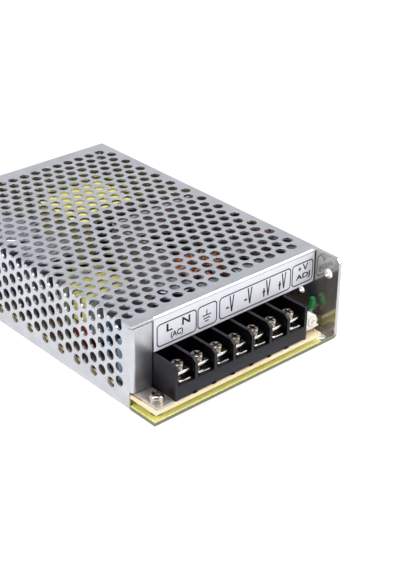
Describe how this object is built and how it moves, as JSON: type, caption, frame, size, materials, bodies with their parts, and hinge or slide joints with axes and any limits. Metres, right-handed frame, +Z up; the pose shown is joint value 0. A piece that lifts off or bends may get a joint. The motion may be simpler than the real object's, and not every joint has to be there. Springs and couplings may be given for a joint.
{
  "type": "mesh case switching power supply",
  "caption": "Enclosed switching power supply: perforated steel cover on an aluminium chassis, board with screw terminal block, trimmer and indicator.",
  "frame": {"origin": "centre of the overall bounding box at its underside, on the base plate's lower face", "axes": "+X along the case's width to the right seen from the terminals, +Y from the terminals to the rear, +Z up from the base plate"},
  "size_m": [0.099, 0.1608, 0.037],
  "materials": {
    "zinc_steel": "bright zinc-plated sheet",
    "aluminium": "bright rolled sheet",
    "film": "translucent yellow-green film",
    "laminate": "tan board laminate",
    "nickel": "nickel-plated steel",
    "tinned": "tin-plated metal",
    "block_plastic": "black moulded plastic",
    "trimmer_plastic": "warm white moulded plastic",
    "lamp": "tinted green epoxy",
    "device_epoxy": "black epoxy",
    "ferrite": "dark sintered ferrite",
    "grey_ferrite": "ground grey ferrite",
    "yellow_tape": "yellow polyester tape",
    "red_bobbin": "red-brown moulded plastic",
    "copper": "enamelled copper wire",
    "dark_sleeve": "dark shrink sleeve",
    "box_blue_grey": "moulded case",
    "disc_blue": "dipped coating",
    "disc_green": "dipped coating",
    "glass": "clear tube",
    "resistor_coat": "lacquered body"
  },
  "bodies": {
    "supply": {"chassis": "aluminium", "cover": "zinc_steel", "insulating_film": "film", "circuit_board": "laminate", "board_standoffs": "nickel", "board_screws": "nickel", "cover_screws": "nickel", "earth_tab": "tinned", "earth_lock_washer": "nickel", "earth_screw": "nickel", "terminal_block": "block_plastic", "terminal_plates": "tinned", "trimmer_body": "trimmer_plastic", "trimmer_pins": "tinned", "indicator_lens": "lamp", "indicator_leads": "tinned", "heatsink": "aluminium", "power_transistors": "device_epoxy", "output_rectifiers": "device_epoxy", "bridge_rectifier": "device_epoxy", "transformer_core": "ferrite", "transformer_winding": "yellow_tape", "line_filter_core": "grey_ferrite", "line_filter_coil": "yellow_tape", "line_filter_bobbin": "red_bobbin", "output_choke_core": "ferrite", "output_choke_winding": "copper", "bulk_capacitors": "dark_sleeve", "filter_capacitor": "dark_sleeve", "output_capacitors": "dark_sleeve", "small_capacitors": "dark_sleeve", "mains_capacitor": "box_blue_grey", "safety_capacitors": "disc_blue", "fuse_glass": "glass", "fuse_caps": "nickel", "fuse_clips": "tinned", "surge_varistor": "disc_blue", "inrush_thermistor": "disc_green", "driver_transformer_core": "ferrite", "driver_transformer_coil": "yellow_tape", "driver_transformer_bobbin": "red_bobbin", "controller_chip": "device_epoxy", "resistors": "resistor_coat"},
    "trimmer_rotor": {"trimmer_rotor": "trimmer_plastic"},
    "clamp_1": {"terminal_clamp_1": "tinned"},
    "screw_1": {"terminal_screw_1": "nickel"},
    "clamp_2": {"terminal_clamp_2": "tinned"},
    "screw_2": {"terminal_screw_2": "nickel"},
    "clamp_3": {"terminal_clamp_3": "tinned"},
    "screw_3": {"terminal_screw_3": "nickel"},
    "clamp_4": {"terminal_clamp_4": "tinned"},
    "screw_4": {"terminal_screw_4": "nickel"},
    "clamp_5": {"terminal_clamp_5": "tinned"},
    "screw_5": {"terminal_screw_5": "nickel"},
    "clamp_6": {"terminal_clamp_6": "tinned"},
    "screw_6": {"terminal_screw_6": "nickel"},
    "clamp_7": {"terminal_clamp_7": "tinned"},
    "screw_7": {"terminal_screw_7": "nickel"}
  },
  "joints": [
    {"name": "voltage_trim", "type": "hinge", "parent": "supply", "child": "trimmer_rotor", "pos_m": [0.0354, -0.0782, 0.0123], "axis": [0, -1, 0], "range_deg": [-105, 105]},
    {"name": "clamp_1_lift", "type": "slide", "parent": "supply", "child": "clamp_1", "axis": [0, 0, 1], "range_m": [-0.0018, 0.0006]},
    {"name": "screw_1_turn", "type": "hinge", "parent": "clamp_1", "child": "screw_1", "pos_m": [-0.03375, -0.0743, 0.01706], "axis": [0, 0, 1], "range_deg": [-1083, 363]},
    {"name": "clamp_2_lift", "type": "slide", "parent": "supply", "child": "clamp_2", "axis": [0, 0, 1], "range_m": [-0.0018, 0.0006]},
    {"name": "screw_2_turn", "type": "hinge", "parent": "clamp_2", "child": "screw_2", "pos_m": [-0.02395, -0.0743, 0.01706], "axis": [0, 0, 1], "range_deg": [-1083, 363]},
    {"name": "clamp_3_lift", "type": "slide", "parent": "supply", "child": "clamp_3", "axis": [0, 0, 1], "range_m": [-0.0018, 0.0006]},
    {"name": "screw_3_turn", "type": "hinge", "parent": "clamp_3", "child": "screw_3", "pos_m": [-0.01415, -0.0743, 0.01706], "axis": [0, 0, 1], "range_deg": [-1083, 363]},
    {"name": "clamp_4_lift", "type": "slide", "parent": "supply", "child": "clamp_4", "axis": [0, 0, 1], "range_m": [-0.0018, 0.0006]},
    {"name": "screw_4_turn", "type": "hinge", "parent": "clamp_4", "child": "screw_4", "pos_m": [-0.00435, -0.0743, 0.01706], "axis": [0, 0, 1], "range_deg": [-1083, 363]},
    {"name": "clamp_5_lift", "type": "slide", "parent": "supply", "child": "clamp_5", "axis": [0, 0, 1], "range_m": [-0.0018, 0.0006]},
    {"name": "screw_5_turn", "type": "hinge", "parent": "clamp_5", "child": "screw_5", "pos_m": [0.00545, -0.0743, 0.01706], "axis": [0, 0, 1], "range_deg": [-1083, 363]},
    {"name": "clamp_6_lift", "type": "slide", "parent": "supply", "child": "clamp_6", "axis": [0, 0, 1], "range_m": [-0.0018, 0.0006]},
    {"name": "screw_6_turn", "type": "hinge", "parent": "clamp_6", "child": "screw_6", "pos_m": [0.01525, -0.0743, 0.01706], "axis": [0, 0, 1], "range_deg": [-1083, 363]},
    {"name": "clamp_7_lift", "type": "slide", "parent": "supply", "child": "clamp_7", "axis": [0, 0, 1], "range_m": [-0.0018, 0.0006]},
    {"name": "screw_7_turn", "type": "hinge", "parent": "clamp_7", "child": "screw_7", "pos_m": [0.02505, -0.0743, 0.01706], "axis": [0, 0, 1], "range_deg": [-1083, 363]}
  ],
  "couplings": [
    {"joint": "screw_1_turn", "follows": "clamp_1_lift", "rad_per_m": 10472},
    {"joint": "screw_2_turn", "follows": "clamp_2_lift", "rad_per_m": 10472},
    {"joint": "screw_3_turn", "follows": "clamp_3_lift", "rad_per_m": 10472},
    {"joint": "screw_4_turn", "follows": "clamp_4_lift", "rad_per_m": 10472},
    {"joint": "screw_5_turn", "follows": "clamp_5_lift", "rad_per_m": 10472},
    {"joint": "screw_6_turn", "follows": "clamp_6_lift", "rad_per_m": 10472},
    {"joint": "screw_7_turn", "follows": "clamp_7_lift", "rad_per_m": 10472}
  ]
}
